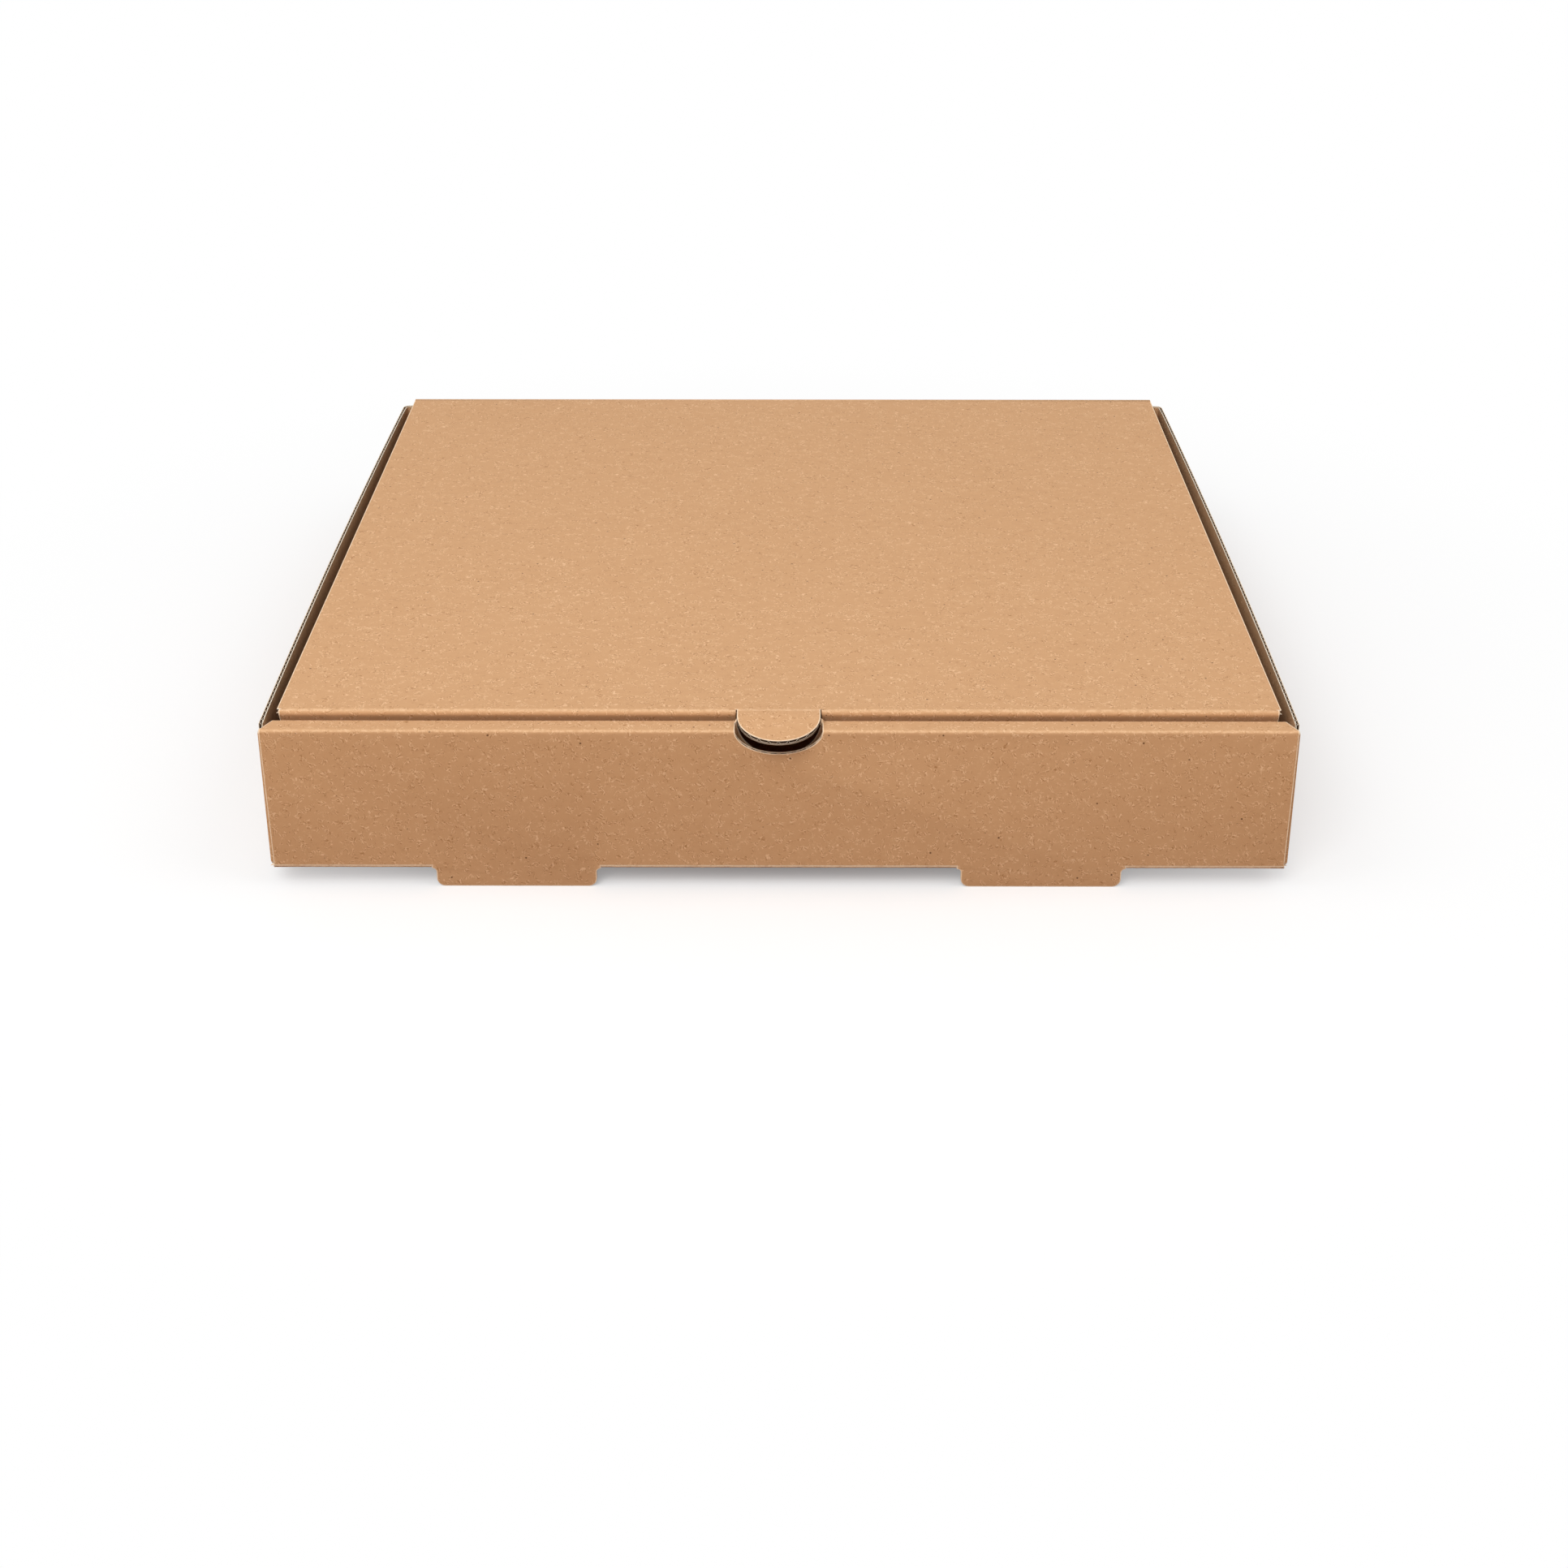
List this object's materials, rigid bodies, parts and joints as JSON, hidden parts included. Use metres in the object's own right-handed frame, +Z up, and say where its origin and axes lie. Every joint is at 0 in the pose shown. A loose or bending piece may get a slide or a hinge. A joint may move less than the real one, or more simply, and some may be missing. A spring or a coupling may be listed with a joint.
{
  "type": "pizza box",
  "caption": "Square corrugated pizza box with a hinged lid, tuck flap, thumb tab and notch, roll-over front wall and feet.",
  "frame": {"origin": "under the middle of the whole closed box, thumb tab included, on the surface that the feet stand on", "axes": "+Z up, -Y towards the front wall with its feet and thumb notch, +X to the right seen from the front"},
  "size_m": [0.3586, 0.3671, 0.063],
  "materials": {
    "kraft_board": "plain brown kraft, matt, fine-fluted"
  },
  "bodies": {
    "tray": {"tray": "kraft_board"},
    "lid": {"lid": "kraft_board"}
  },
  "joints": [
    {"name": "lid_hinge", "type": "hinge", "parent": "tray", "child": "lid", "pos_m": [0, 0.18275, 0.0622], "axis": [-1, 0, 0], "range_deg": [0, 175]}
  ]
}
